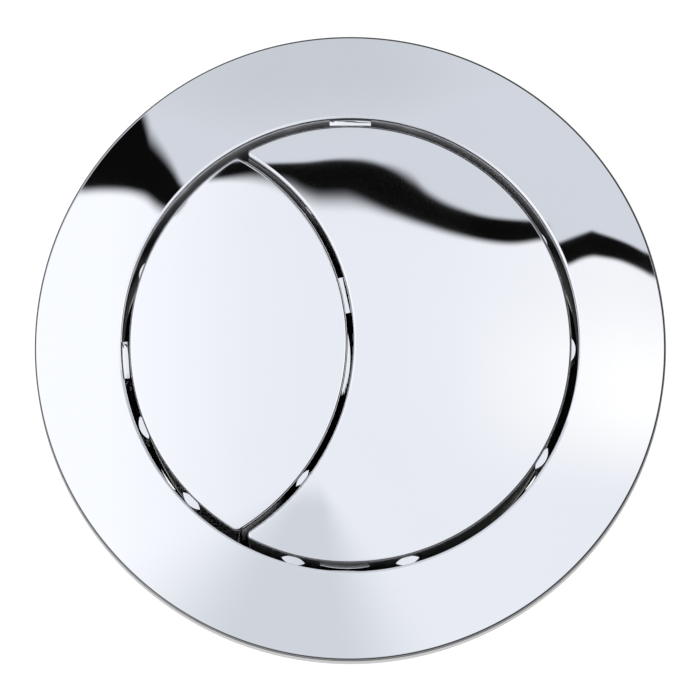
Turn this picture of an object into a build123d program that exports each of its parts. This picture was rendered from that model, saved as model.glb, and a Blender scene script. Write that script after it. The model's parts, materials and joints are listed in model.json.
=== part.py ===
from build123d import *
import os
from math import cos, hypot, radians, sin, sqrt

# Dual flush push button for a cistern lid, in millimetres.
# The lid's top face is the plane z = 0, the lid's hole is centred on the Z axis and +Z points up.
# The half flush button lies on the -X side of the divider, the full flush button on the +X side.

# Lid and fits
lid_thickness = 8.0
running_gap = 0.1
fit_gap = 0.1
stop_gap = 0.1

# Bezel
bezel_radius = 36.5
rim_height = 3.6
dome_radius = 135.0
bezel_wall = 1.5
bezel_face_width = 10.01
ledge_depth = 1.1
ledge_width = 0.1
collar_wall = 1.01
collar_depth = 6.0
rim_edge_chamfer = 0.25
lip_chamfer = 0.3
guide_rib_gap = 0.1
guide_rib_angles = [90.0, 184.0, 268.5]
guide_rib_widths = [4.8, 4.3, 5.9]
guide_rib_drops = [0.65, 0.65, 5.5]
bearing_rib_count = 8
bearing_rib_width = 1.2
barb_count = 4
barb_angle = 45.0
barb_width = 6.0
barb_height = 1.8
barb_reach = 0.7
barb_top = -3.2

# Buttons
button_reveal = 0.94
divider_gap = 0.6
half_tip_radius = 0.9
full_tip_radius = 0.6
button_edge_radius = 0.4
cap_top = 1.8
cap_wall = 1.5
skirt_bottom = -4.0
cap_rib_width = 1.2
cap_rib_bottom = -1.0
cap_boss_radius = 4.0
pip_radius = 2.1
pip_reach = 0.5
pip_drop = 4.3
half_pip_angles = [136.0, 159.0, 201.0, 224.0]
full_pip_angles = [-105.0, -75.0, -30.0, 0.0, 30.0, 75.0, 105.0]
divider_bump_angles = [-37.5, -5.0, 37.5]
divider_bump_radii = [2.1, 11.4, 2.1]
divider_bump_reach = 0.35
divider_bump_drop = 3.7
divider_pad_angles = [12.3]
divider_pad_width = 4.2
divider_pad_reach = 0.42
divider_pad_drop = 1.1
press_travel = 6.0

# Plungers
stem_inset = 12.55
base_thickness = 1.6
base_inset = 0.4
plug_height = 1.5
plug_wall = 1.2
peg_radius = 2.4
peg_height = 7.0
stem_radius = 4.6
stem_tail = 7.0
socket_depth = 16.0
post_radius = 1.6
post_tail = 1.0
half_post_inset = 12.55
full_post_inset = 9.05
full_post_x = 4.0

# Gasket and threaded sleeve
gasket_thickness = 1.4
gasket_gap = 0.5
flange_thickness = 1.2
flange_margin = 2.0
sleeve_wall = 2.0
sleeve_depth = 26.0
lead_in = 0.8

# Guide plate and its screws
plate_thickness = 2.0
plate_recess = 2.0
plate_gap = 0.2
tube_wall = 1.5
drain_count = 2
drain_inset = 4.5
drain_width = 3.0
drain_sweep = 60.0
screw_inset = 4.9
screw_radius = 1.25
screw_length = 9.0
screw_head_radius = 2.6
screw_head_height = 1.6
screw_head_chamfer = 0.7
screw_slot_width = 0.6
screw_slot_depth = 0.8
screw_hole_gap = 0.25
boss_radius = 3.0
boss_height = 9.0

# Return springs and retaining clips
wire_radius = 0.45
spring_gap = 0.4
spring_turns = 4.0
spring_seat_gap = 0.05
clip_thickness = 0.8
clip_width = 1.8
clip_prong = 1.0
clip_mouth = 7.0
groove_depth = 0.6

# Push rods and lock nuts
rod_radius = 3.0
rod_thread_length = 34.0
rod_tip_radius = 2.6
rod_tip_length = 22.0
rod_end_chamfer = 0.5
rod_end_gap = 1.0
lock_nut_height = 3.2
lock_nut_flats = 10.0

# Back nut and slip washer
washer_thickness = 1.0
washer_gap = 0.4
washer_margin = 0.4
nut_gap = 0.2
nut_flange_reach = 2.2
nut_flange_height = 2.0
nut_body_wall = 2.5
nut_height = 8.0
nut_lug_count = 8
nut_lug_width = 5.0
nut_lug_reach = 1.4
nut_lead_in = 0.6

# Places that follow from the sizes above
dome_centre = rim_height - sqrt(dome_radius**2 - bezel_radius**2)
rim_bore = bezel_radius - bezel_wall
opening_radius = bezel_radius - bezel_face_width
button_radius = opening_radius - button_reveal
divider_radius = button_radius
collar_bore = opening_radius - ledge_width
collar_radius = collar_bore + collar_wall
sleeve_bore = collar_radius + fit_gap
sleeve_radius = sleeve_bore + sleeve_wall
sleeve_bottom = -sleeve_depth
flange_radius = rim_bore - flange_margin
flange_top = gasket_thickness + flange_thickness
plate_bottom = sleeve_bottom + plate_recess
plate_top = plate_bottom + plate_thickness
base_bottom = skirt_bottom - base_thickness
stem_offset = button_radius - stem_inset
half_post_reach = button_radius - half_post_inset
full_post_reach = button_radius - full_post_inset
tube_bore = stem_radius + running_gap
tube_radius = tube_bore + tube_wall
tube_top = base_bottom - press_travel - stop_gap
stem_bottom = plate_bottom - stem_tail
clip_top = plate_bottom - stop_gap
groove_radius = stem_radius - groove_depth
socket_radius = rod_radius + fit_gap
rod_top = stem_bottom + socket_depth - rod_end_gap
drain_radius = sleeve_bore - drain_inset
screw_reach = sleeve_bore - screw_inset
spring_radius = tube_radius + spring_gap + wire_radius
washer_top = -lid_thickness
nut_top = washer_top - washer_thickness
nut_bottom = nut_top - nut_height
nut_bore = sleeve_radius + nut_gap
nut_body_radius = nut_bore + nut_body_wall
nut_flange_radius = nut_body_radius + nut_flange_reach

dome_turn = (90, 0, 0)  # lays the sphere's poles along Y, clear of the face


def dome_height(radius, inset=0.0):
    """Height of the domed face, or of a parallel surface under it, at a distance from the axis."""
    return dome_centre + sqrt((dome_radius - inset) ** 2 - radius**2)


def polar_point(radius, angle):
    """Point at a distance from the axis, in a direction in degrees."""
    return radius * cos(radians(angle)), radius * sin(radians(angle))


half_stem = (-stem_offset, 0)
full_stem = (stem_offset, 0)
pip_circle = button_radius + pip_reach - pip_radius
pip_top = dome_height(button_radius) - pip_drop
half_pips = [(*polar_point(pip_circle, angle), pip_radius, pip_top) for angle in half_pip_angles]
full_pips = [(*polar_point(pip_circle, angle), pip_radius, pip_top) for angle in full_pip_angles]
divider_wall = divider_radius - divider_gap / 2
for angle, radius in zip(divider_bump_angles, divider_bump_radii):
    tip_x, tip_y = polar_point(divider_wall, angle)
    x, y = polar_point(divider_wall + divider_bump_reach - radius, angle)
    top = dome_height(hypot(tip_x - divider_radius, tip_y)) - divider_bump_drop
    half_pips.append((x - divider_radius, y, radius, top))
half_posts = [(-stem_offset, -half_post_reach), (-stem_offset, half_post_reach)]
full_posts = [(full_post_x, -full_post_reach), (full_post_x, full_post_reach)]
screw_points = {"front": (0, -screw_reach), "rear": (0, screw_reach)}


def half_outline(inset):
    """Lens on the left of the divider, moved inwards by an inset."""
    with BuildSketch(mode=Mode.PRIVATE) as outline:
        Circle(button_radius - inset)
        with Locations((-divider_radius, 0)):
            Circle(divider_radius - divider_gap / 2 - inset, mode=Mode.INTERSECT)
        fillet(outline.vertices(), half_tip_radius)
    return outline.sketch


def full_outline(inset):
    """Rest of the disc on the right of the divider, moved inwards by an inset."""
    with BuildSketch(mode=Mode.PRIVATE) as outline:
        Circle(button_radius - inset)
        with Locations((-divider_radius, 0)):
            Circle(divider_radius + divider_gap / 2 + inset, mode=Mode.SUBTRACT)
        fillet(outline.vertices(), full_tip_radius)
    return outline.sketch


def cap_cavity(outline, stem):
    """Hollow under a button's domed top, around its cross ribs and its boss."""
    with BuildPart() as cavity:
        with BuildSketch(Plane.XY.offset(cap_rib_bottom)):
            add(outline(cap_wall))
            with Locations(stem):
                Rectangle(4 * button_radius, cap_rib_width, mode=Mode.SUBTRACT)
                Rectangle(cap_rib_width, 4 * button_radius, mode=Mode.SUBTRACT)
                Circle(cap_boss_radius, mode=Mode.SUBTRACT)
                Circle(peg_radius + fit_gap)
        extrude(amount=dome_height(0) - cap_rib_bottom)
        with Locations((0, 0, dome_centre)):
            Sphere(dome_radius - cap_top, rotation=dome_turn, mode=Mode.INTERSECT)
        with BuildSketch(Plane.XY.offset(skirt_bottom)):
            add(outline(cap_wall))
        extrude(amount=cap_rib_bottom - skirt_bottom)
    return cavity.part


def flush_button(outline, stem, pips, pad_angles):
    """Domed cap with guide pips and pads on its skirt, ribbed inside, with a boss for the plunger's peg."""
    cavity = cap_cavity(outline, stem)
    with BuildPart() as button:
        with BuildSketch(Plane.XY.offset(skirt_bottom)):
            add(outline(0))
        extrude(amount=dome_height(0) + cap_top - skirt_bottom)
        with Locations((0, 0, dome_centre)):
            Sphere(dome_radius, rotation=dome_turn, mode=Mode.INTERSECT)
        fillet(button.faces().sort_by(Axis.Z)[-1].edges(), button_edge_radius)
        for x, y, radius, top in pips:
            with BuildSketch(Plane.XY.offset(skirt_bottom)):
                with Locations((x, y)):
                    Circle(radius)
            extrude(amount=top - skirt_bottom)
        for angle in pad_angles:
            x, y = polar_point(divider_wall, angle)
            with BuildSketch(Plane.XY.offset(skirt_bottom)):
                with Locations((x - divider_radius, y)):
                    Rectangle(2 * divider_pad_reach, divider_pad_width, rotation=angle)
            extrude(amount=dome_height(0) - divider_pad_drop - skirt_bottom)
        add(cavity, mode=Mode.SUBTRACT)
    return button.part


def flush_plunger(outline, stem, posts):
    """Base that closes a cap, with a peg above it and a stem and two posts below it."""
    with BuildPart() as plunger:
        with BuildSketch(Plane.XY.offset(base_bottom)):
            add(outline(base_inset))
        extrude(amount=base_thickness)
        with BuildSketch(Plane.XY.offset(skirt_bottom)):
            add(outline(cap_wall + fit_gap))
            add(outline(cap_wall + fit_gap + plug_wall), mode=Mode.SUBTRACT)
        extrude(amount=plug_height)
        with BuildSketch(Plane.XY.offset(skirt_bottom)):
            with Locations(stem):
                Circle(peg_radius)
        extrude(amount=peg_height)
        with BuildSketch(Plane.XY.offset(stem_bottom)):
            with Locations(stem):
                Circle(stem_radius)
        extrude(amount=base_bottom - stem_bottom)
        with BuildSketch(Plane.XY.offset(plate_bottom - post_tail)):
            with Locations(*posts):
                Circle(post_radius)
        extrude(amount=base_bottom - plate_bottom + post_tail)
        with BuildSketch(Plane.XY.offset(clip_top - clip_thickness - fit_gap)):
            with Locations(stem):
                Circle(stem_radius)
                Circle(groove_radius, mode=Mode.SUBTRACT)
        extrude(amount=clip_thickness + 2 * fit_gap, mode=Mode.SUBTRACT)
        with BuildSketch(Plane.XY.offset(stem_bottom)):
            with Locations(stem):
                Circle(socket_radius)
        extrude(amount=socket_depth, mode=Mode.SUBTRACT)
    return plunger.part


def return_spring(stem):
    """Compression spring around a guide tube, from the guide plate to the plunger's base."""
    lowest = plate_top + spring_seat_gap + wire_radius
    height = base_bottom - spring_seat_gap - wire_radius - lowest
    with BuildPart() as spring:
        with BuildLine() as coil:
            Helix(height / spring_turns, height, spring_radius, center=(*stem, lowest))
        with BuildSketch(Plane(origin=coil.line @ 0, z_dir=coil.line % 0)):
            RegularPolygon(wire_radius, 6)
        sweep(path=coil.line, is_frenet=True)
    return spring.part


def retaining_clip(stem):
    """Open clip with three prongs in the groove of a stem, under the guide plate."""
    prong_tip = groove_radius + fit_gap
    band_bore = prong_tip + clip_prong
    with BuildPart() as clip:
        with BuildSketch(Plane.XY.offset(clip_top - clip_thickness)):
            with Locations(stem):
                Circle(band_bore + clip_width)
                Circle(band_bore, mode=Mode.SUBTRACT)
                Rectangle(2 * band_bore, clip_prong * 2)
                with Locations((0, band_bore / 2)):
                    Rectangle(clip_prong * 2, band_bore)
                Circle(prong_tip, mode=Mode.SUBTRACT)
                with Locations((0, -band_bore)):
                    Rectangle(clip_mouth, 2 * clip_width + clip_prong, mode=Mode.SUBTRACT)
        extrude(amount=clip_thickness)
    return clip.part


def push_rod(stem):
    """Rod from a stem's socket down to the flush valve: a threaded shank, then a plain tip."""
    with BuildPart() as rod:
        with BuildSketch(Plane.XY.offset(rod_top - rod_thread_length)):
            with Locations(stem):
                Circle(rod_radius)
        extrude(amount=rod_thread_length)
        with BuildSketch(Plane.XY.offset(rod_top - rod_thread_length - rod_tip_length)):
            with Locations(stem):
                Circle(rod_tip_radius)
        extrude(amount=rod_tip_length)
        ends = rod.faces().filter_by(Axis.Z).sort_by(Axis.Z)
        chamfer(ends[0].edges() + ends[-1].edges(), rod_end_chamfer)
    return rod.part


def lock_nut(stem):
    """Hexagon nut on a rod, tight against the stem's end."""
    with BuildPart() as nut:
        with BuildSketch(Plane.XY.offset(stem_bottom - lock_nut_height)):
            with Locations(stem):
                RegularPolygon(lock_nut_flats / 2, 6, major_radius=False)
                Circle(rod_radius + fit_gap, mode=Mode.SUBTRACT)
        extrude(amount=lock_nut_height)
    return nut.part


def guide_screw(point):
    """Pan head self-tapping screw that holds the guide plate, driven from below."""
    with BuildPart() as screw:
        with BuildSketch(Plane.XY.offset(plate_bottom)):
            with Locations(point):
                Circle(screw_radius)
        extrude(amount=screw_length)
        with BuildSketch(Plane.XY.offset(plate_bottom - screw_head_height)):
            with Locations(point):
                Circle(screw_head_radius)
        extrude(amount=screw_head_height)
        head_bottom = screw.faces().sort_by(Axis.Z)[0]
        chamfer(head_bottom.edges(), screw_head_chamfer)
        with BuildSketch(Plane.XY.offset(plate_bottom - screw_head_height)):
            with Locations(point):
                Rectangle(2 * screw_radius, screw_slot_width)
                Rectangle(screw_slot_width, 2 * screw_radius)
        extrude(amount=screw_slot_depth, mode=Mode.SUBTRACT)
    return screw.part


# Bezel: domed ring, collar, guide ribs in the opening, bearing ribs and snap barbs
ledge_height = dome_height(opening_radius) - ledge_depth
face_middle = (bezel_radius + opening_radius) / 2
guide_rib_inner = button_radius + guide_rib_gap
guide_rib_outer = collar_bore + collar_wall / 2

with BuildPart() as bezel:
    with BuildSketch(Plane.XZ) as bezel_section:
        with BuildLine():
            Polyline((rim_bore, 0), (bezel_radius, 0), (bezel_radius, rim_height))
            ThreePointArc(
                (bezel_radius, rim_height),
                (face_middle, dome_height(face_middle)),
                (opening_radius, dome_height(opening_radius)),
            )
            Polyline(
                (opening_radius, dome_height(opening_radius)),
                (opening_radius, ledge_height),
                (collar_bore, ledge_height),
                (collar_bore, -collar_depth),
                (collar_radius, -collar_depth),
                (collar_radius, dome_height(collar_radius, bezel_wall)),
            )
            Polyline(
                (collar_radius, dome_height(collar_radius, bezel_wall)),
                (rim_bore, dome_height(rim_bore, bezel_wall)),
                (rim_bore, 0),
            )
        make_face()
        rim_edge = bezel_section.vertices().sort_by_distance((bezel_radius, rim_height))[0]
        chamfer(rim_edge, rim_edge_chamfer)
        lip = bezel_section.vertices().sort_by_distance((opening_radius, dome_height(opening_radius)))[0]
        chamfer(lip, lip_chamfer)
    revolve(axis=Axis.Z)

    for angle, width, drop in zip(guide_rib_angles, guide_rib_widths, guide_rib_drops):
        with BuildSketch(Plane.XZ, mode=Mode.PRIVATE) as guide_section:
            with BuildLine():
                Polyline(
                    (guide_rib_inner, -collar_depth),
                    (guide_rib_outer, -collar_depth),
                    (guide_rib_outer, dome_height(guide_rib_outer, drop)),
                    (guide_rib_inner, dome_height(guide_rib_inner, drop)),
                    close=True,
                )
            make_face()
        guide_rib = extrude(guide_section.sketch, width / 2, both=True, mode=Mode.PRIVATE)
        with PolarLocations(0, 1, start_angle=angle):
            add(guide_rib)

    with BuildSketch(Plane.XZ, mode=Mode.PRIVATE) as bearing_section:
        with BuildLine():
            Polyline(
                (sleeve_radius, dome_height(sleeve_radius, bezel_wall / 2)),
                (sleeve_radius, flange_top),
                (flange_radius, flange_top),
                (flange_radius, dome_height(flange_radius, bezel_wall / 2)),
                close=True,
            )
        make_face()
    bearing_rib = extrude(bearing_section.sketch, bearing_rib_width / 2, both=True, mode=Mode.PRIVATE)
    with PolarLocations(0, bearing_rib_count):
        add(bearing_rib)

    with BuildSketch(Plane.XZ, mode=Mode.PRIVATE) as barb_section:
        with BuildLine():
            Polyline(
                (collar_radius - collar_wall / 2, barb_top),
                (collar_radius + barb_reach, barb_top),
                (collar_radius, barb_top - barb_height),
                (collar_radius - collar_wall / 2, barb_top - barb_height),
                close=True,
            )
        make_face()
    barb = extrude(barb_section.sketch, barb_width / 2, both=True, mode=Mode.PRIVATE)
    with PolarLocations(0, barb_count, start_angle=barb_angle):
        add(barb)

# Gasket: rubber ring between the sleeve's flange and the lid
with BuildPart() as lid_gasket:
    with BuildSketch():
        Circle(rim_bore - gasket_gap)
        Circle(sleeve_radius + gasket_gap, mode=Mode.SUBTRACT)
    extrude(amount=gasket_thickness)

# Sleeve: flanged tube through the lid, with windows for the barbs and two screw bosses
window_height = barb_height + 2 * fit_gap
with BuildPart() as threaded_sleeve:
    with BuildSketch(Plane.XZ):
        with BuildLine():
            Polyline(
                (sleeve_bore, sleeve_bottom),
                (sleeve_radius - lead_in, sleeve_bottom),
                (sleeve_radius, sleeve_bottom + lead_in),
                (sleeve_radius, gasket_thickness),
                (flange_radius, gasket_thickness),
                (flange_radius, flange_top),
                (sleeve_bore, flange_top),
                close=True,
            )
        make_face()
    revolve(axis=Axis.Z)

    with BuildSketch(Plane.XY.offset(barb_top + fit_gap - window_height)):
        with PolarLocations(sleeve_radius, barb_count, start_angle=barb_angle):
            Rectangle(4 * sleeve_wall, barb_width + 4 * fit_gap)
    extrude(amount=window_height, mode=Mode.SUBTRACT)

    with BuildSketch(Plane.XY.offset(plate_top)):
        with Locations(*screw_points.values()):
            Circle(boss_radius)
        Rectangle(2 * boss_radius, 2 * sleeve_radius)
        Rectangle(2 * boss_radius, 2 * screw_reach, mode=Mode.SUBTRACT)
        with Locations(*screw_points.values()):
            Circle(boss_radius)
        Circle(sleeve_bore + sleeve_wall / 2, mode=Mode.INTERSECT)
    extrude(amount=boss_height)

    with BuildSketch(Plane.XY.offset(plate_top)):
        with Locations(*screw_points.values()):
            Circle(screw_radius + fit_gap)
    extrude(amount=screw_length - plate_thickness + fit_gap, mode=Mode.SUBTRACT)

# Guide plate: disc with two guide tubes, post holes, screw holes and drain slots
with BuildPart() as guide_plate:
    with BuildSketch(Plane.XY.offset(plate_bottom)):
        Circle(sleeve_bore - plate_gap)
    extrude(amount=plate_thickness)
    with BuildSketch(Plane.XY.offset(plate_top)):
        with Locations(half_stem, full_stem):
            Circle(tube_radius)
    extrude(amount=tube_top - plate_top)
    with BuildSketch(Plane.XY.offset(plate_bottom)):
        with Locations(half_stem, full_stem):
            Circle(tube_bore)
        with Locations(*half_posts, *full_posts):
            Circle(post_radius + running_gap)
        with Locations(*screw_points.values()):
            Circle(screw_radius + screw_hole_gap)
    extrude(amount=tube_top - plate_bottom, mode=Mode.SUBTRACT)
    with BuildSketch(Plane.XY.offset(plate_bottom)):
        with PolarLocations(0, drain_count):
            SlotArc(CenterArc((0, 0), drain_radius, -drain_sweep / 2, drain_sweep), drain_width)
    extrude(amount=plate_thickness, mode=Mode.SUBTRACT)

# Slip washer and back nut under the lid
with BuildPart() as slip_washer:
    with BuildSketch(Plane.XY.offset(nut_top)):
        Circle(nut_flange_radius - washer_margin)
        Circle(sleeve_radius + washer_gap, mode=Mode.SUBTRACT)
    extrude(amount=washer_thickness)

with BuildPart() as back_nut:
    with BuildSketch(Plane.XZ):
        with BuildLine():
            Polyline(
                (nut_bore, nut_top),
                (nut_flange_radius, nut_top),
                (nut_flange_radius, nut_top - nut_flange_height),
                (nut_body_radius, nut_top - nut_flange_height),
                (nut_body_radius, nut_bottom),
                (nut_bore + nut_lead_in, nut_bottom),
                (nut_bore, nut_bottom + nut_lead_in),
                close=True,
            )
        make_face()
    revolve(axis=Axis.Z)
    with BuildSketch(Plane.XY.offset(nut_bottom)):
        with PolarLocations(nut_body_radius, nut_lug_count):
            Rectangle(2 * nut_lug_reach, nut_lug_width)
        Circle(nut_body_radius - nut_body_wall / 2, mode=Mode.SUBTRACT)
    extrude(amount=nut_height - nut_flange_height)

pieces = {
    "bezel": bezel.part,
    "lid_gasket": lid_gasket.part,
    "threaded_sleeve": threaded_sleeve.part,
    "guide_plate": guide_plate.part,
    "slip_washer": slip_washer.part,
    "back_nut": back_nut.part,
}
for place, point in screw_points.items():
    pieces[f"{place}_guide_screw"] = guide_screw(point)
for flush, outline, stem, posts, pips, pad_angles in (
    ("half_flush", half_outline, half_stem, half_posts, half_pips, divider_pad_angles),
    ("full_flush", full_outline, full_stem, full_posts, full_pips, []),
):
    pieces[f"{flush}_button"] = flush_button(outline, stem, pips, pad_angles)
    pieces[f"{flush}_plunger"] = flush_plunger(outline, stem, posts)
    pieces[f"{flush}_spring"] = return_spring(stem)
    pieces[f"{flush}_clip"] = retaining_clip(stem)
    pieces[f"{flush}_rod"] = push_rod(stem)
    pieces[f"{flush}_lock_nut"] = lock_nut(stem)

os.makedirs("parts", exist_ok=True)
for name, piece in pieces.items():
    piece.label = name
    export_step(piece, f"parts/{name}.step")
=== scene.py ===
import json
from math import ceil, cos, pi, radians, sin, sqrt, tan

import bmesh
import bpy
from mathutils import Matrix, Vector


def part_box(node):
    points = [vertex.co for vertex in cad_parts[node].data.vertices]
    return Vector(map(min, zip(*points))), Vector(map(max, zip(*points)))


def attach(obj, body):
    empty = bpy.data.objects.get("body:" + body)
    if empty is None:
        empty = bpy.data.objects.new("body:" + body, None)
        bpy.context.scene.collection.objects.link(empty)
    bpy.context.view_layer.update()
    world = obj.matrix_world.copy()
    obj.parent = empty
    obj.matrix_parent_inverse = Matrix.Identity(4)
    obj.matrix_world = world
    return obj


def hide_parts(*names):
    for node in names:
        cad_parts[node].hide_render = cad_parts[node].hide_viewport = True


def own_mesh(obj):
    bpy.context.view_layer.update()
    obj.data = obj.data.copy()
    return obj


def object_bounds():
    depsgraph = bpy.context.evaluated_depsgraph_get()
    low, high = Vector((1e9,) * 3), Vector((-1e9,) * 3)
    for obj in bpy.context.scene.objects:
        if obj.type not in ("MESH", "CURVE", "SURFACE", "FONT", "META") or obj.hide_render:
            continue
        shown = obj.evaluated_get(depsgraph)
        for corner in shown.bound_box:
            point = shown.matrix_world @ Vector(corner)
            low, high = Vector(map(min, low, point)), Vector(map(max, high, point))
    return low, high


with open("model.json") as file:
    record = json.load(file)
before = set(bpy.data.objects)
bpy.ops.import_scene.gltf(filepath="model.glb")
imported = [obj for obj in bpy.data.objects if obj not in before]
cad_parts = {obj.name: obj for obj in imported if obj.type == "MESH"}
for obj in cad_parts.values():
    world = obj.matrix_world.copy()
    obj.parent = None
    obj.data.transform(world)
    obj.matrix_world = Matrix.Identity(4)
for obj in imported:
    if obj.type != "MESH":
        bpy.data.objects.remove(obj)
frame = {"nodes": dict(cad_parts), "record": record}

cad_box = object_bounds()

# Sizes in metres, in the frame of the lid: z = 0 is the lid's top face
mm = 0.001
fit_gap = 0.1 * mm
small_edge_radius = 0.12 * mm

# Bezel. A guide rib has an angle in degrees, a width and a drop under the domed face.
bezel_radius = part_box("bezel")[1].x
bezel_wall = 1.5 * mm
bezel_face_width = 10.01 * mm
bezel_segments = 320
rim_height = 3.6 * mm
rim_bore = bezel_radius - bezel_wall
rim_edge_radius = 0.42 * mm
dome_radius = 135.0 * mm
dome_centre = rim_height - sqrt(dome_radius**2 - bezel_radius**2)
opening_radius = bezel_radius - bezel_face_width
lip_width = 0.25 * mm
lip_drop = 0.15 * mm
lip_edge_radius = 0.05 * mm
ledge_depth = 1.1 * mm
ledge_width = 0.1 * mm
ledge_edge_radius = 0.03 * mm
collar_bore = opening_radius - ledge_width
collar_wall = 1.01 * mm
collar_radius = collar_bore + collar_wall
collar_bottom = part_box("bezel")[0].z
guide_ribs = ((90.0, 4.8 * mm, 0.65 * mm), (184.0, 4.3 * mm, 0.65 * mm), (268.5, 5.9 * mm, 5.5 * mm))
bearing_rib_count = 8
bearing_rib_width = 1.2 * mm
barb_count = 4
barb_start = pi / 4
barb_step = 2 * pi / barb_count
barb_width = 6.0 * mm
barb_top = -3.2 * mm
barb_bottom = -5.0 * mm
barb_reach = 0.7 * mm
bar_edge_radius = 0.05 * mm

# Buttons
button_reveal = 0.94 * mm
button_radius = opening_radius - button_reveal
button_edge_radius = 0.4 * mm
cap_depth = 0.6 * mm
divider_gap = 0.6 * mm
tip_radius = {"half_flush": 0.9 * mm, "full_flush": 0.6 * mm}
base_bottom = -5.6 * mm
stem_offset = 13.0 * mm

# Sleeve and guide plate
gasket_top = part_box("lid_gasket")[1].z
sleeve_wall = 2.0 * mm
sleeve_bore = collar_radius + fit_gap
sleeve_radius = sleeve_bore + sleeve_wall
sleeve_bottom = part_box("threaded_sleeve")[0].z
sleeve_lead_in = 0.8 * mm
sleeve_segments = 192
sleeve_row = 0.15 * mm
flange_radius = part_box("threaded_sleeve")[1].x
flange_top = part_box("threaded_sleeve")[1].z
sleeve_thread_top = -5.6 * mm
sleeve_thread_depth = 0.75 * mm
sleeve_thread_pitch = 3.0 * mm
window_gap = 0.1 * mm
window_width = 6.4 * mm
window_edge_radius = 0.2 * mm
plate_top = -22.0 * mm
screw_reach = 22.6 * mm
boss_radius = 3.0 * mm
boss_height = 9.0 * mm
boss_segments = 40

# Rods and springs
rod_radius = 3.0 * mm
rod_tip_radius = 2.6 * mm
rod_step = -50.0 * mm
rod_chamfer = 0.5 * mm
rod_segments = 48
rod_row = 0.1 * mm
rod_thread_depth = 0.45 * mm
rod_thread_pitch = 1.0 * mm
wire_radius = 0.45 * mm
coil_radius = 7.05 * mm
coil_seat = 0.05 * mm

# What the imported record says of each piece
bodies = frame["record"]["behaviour"]["bodies"]
body_of = {node: body for body, members in bodies.items() for node in members}
slot_of = {part["node"]: part["material_slot"] for part in frame["record"]["subparts"]}


def dome_height(radius, inset=0.0):
    """Height of the domed face, or of a parallel surface under it, at a distance from the axis."""
    return dome_centre + sqrt((dome_radius - inset) ** 2 - radius**2)


def grey(level):
    """Neutral colour."""
    return level, level, level, 1.0


# Node trees

class Tree:
    """Adds nodes to one tree, with sockets joined or set as they are made."""

    def __init__(self, tree):
        self.tree = tree

    def put(self, socket, value):
        if isinstance(value, bpy.types.NodeSocket):
            self.tree.links.new(value, socket)
        elif value is not None:
            socket.default_value = value

    def add(self, kind, inputs=(), **settings):
        node = self.tree.nodes.new(kind)
        for key, value in settings.items():
            setattr(node, key, value)
        for key, value in dict(inputs).items():
            self.put(node.inputs[key], value)
        return node

    def math(self, operation, *values):
        node = self.add("ShaderNodeMath", operation=operation)
        for socket, value in zip(node.inputs, values):
            self.put(socket, value)
        return node.outputs[0]

    def ramp(self, value, low, high, to_low=0.0, to_high=1.0, kind="SMOOTHSTEP"):
        ends = {"Value": value, "From Min": low, "From Max": high, "To Min": to_low, "To Max": to_high}
        return self.add("ShaderNodeMapRange", ends, interpolation_type=kind).outputs["Result"]

    def blend(self, factor, first, second):
        node = self.add("ShaderNodeMix", data_type="RGBA")
        for socket, value in zip((node.inputs[0], node.inputs[6], node.inputs[7]), (factor, first, second)):
            self.put(socket, value)
        return node.outputs[2]

    def curve(self, value, points, low, high, corners=None):
        """Line through points whose heights lie from low to high, with corners at some points or at all."""
        left = points[0][0]
        right = points[-1][0]
        node = self.add("ShaderNodeFloatCurve", {"Value": self.ramp(value, left, right, kind="LINEAR")})
        line = node.mapping.curves[0]
        while len(line.points) < len(points):
            line.points.new(0.5, 0.5)
        for point, (across, up) in zip(line.points, points):
            point.location = ((across - left) / (right - left), (up - low) / (high - low))
            point.handle_type = "VECTOR" if corners is None or across in corners else "AUTO_CLAMPED"
        node.mapping.update()
        return self.ramp(node.outputs["Value"], 0.0, 1.0, low, high, "LINEAR")


# Surface finishes

def new_group(name, inputs, outputs):
    """Shader node group with float inputs, given with their defaults, and float outputs."""
    group = bpy.data.node_groups.new(name, "ShaderNodeTree")
    for label, value in inputs.items():
        group.interface.new_socket(label, in_out="INPUT", socket_type="NodeSocketFloat").default_value = value
    for label in outputs:
        group.interface.new_socket(label, in_out="OUTPUT", socket_type="NodeSocketFloat")
    return group


def moulding_marks():
    """Cloudy tone and fine grain of a moulded surface, as masks from 0 to 1."""
    group = new_group("moulding_marks", {"Cloud scale": 90.0, "Grain scale": 2600.0}, ("Cloud", "Grain"))
    tree = Tree(group)
    ends = tree.add("NodeGroupInput").outputs
    place = tree.add("ShaderNodeTexCoord").outputs["Object"]
    cloud = tree.add("ShaderNodeTexNoise", {"Vector": place, "Scale": ends["Cloud scale"], "Detail": 3.0})
    grain = tree.add("ShaderNodeTexNoise", {"Vector": place, "Scale": ends["Grain scale"], "Detail": 4.0})
    result = tree.add("NodeGroupOutput").inputs
    tree.put(result["Cloud"], tree.ramp(cloud.outputs[0], 0.3, 0.7))
    tree.put(result["Grain"], grain.outputs[0])
    return group


def polish_marks():
    """Faint haze and long fine wipe lines of a polished metal, as masks from 0 to 1."""
    group = new_group("polish_marks", {"Haze scale": 60.0, "Line scale": 900.0}, ("Haze", "Lines"))
    tree = Tree(group)
    ends = tree.add("NodeGroupInput").outputs
    place = tree.add("ShaderNodeTexCoord").outputs["Object"]
    haze = tree.add("ShaderNodeTexNoise", {"Vector": place, "Scale": ends["Haze scale"], "Detail": 2.0})
    drawn = tree.add("ShaderNodeMapping", {"Vector": place, "Scale": (1.0, 0.04, 1.0)}).outputs[0]
    lines = tree.add("ShaderNodeTexNoise", {"Vector": drawn, "Scale": ends["Line scale"], "Detail": 3.0})
    result = tree.add("NodeGroupOutput").inputs
    tree.put(result["Haze"], tree.ramp(haze.outputs[0], 0.35, 0.75))
    tree.put(result["Lines"], tree.ramp(lines.outputs[0], 0.45, 0.75))
    return group


marks = {"moulding": moulding_marks(), "polish": polish_marks()}

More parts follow.
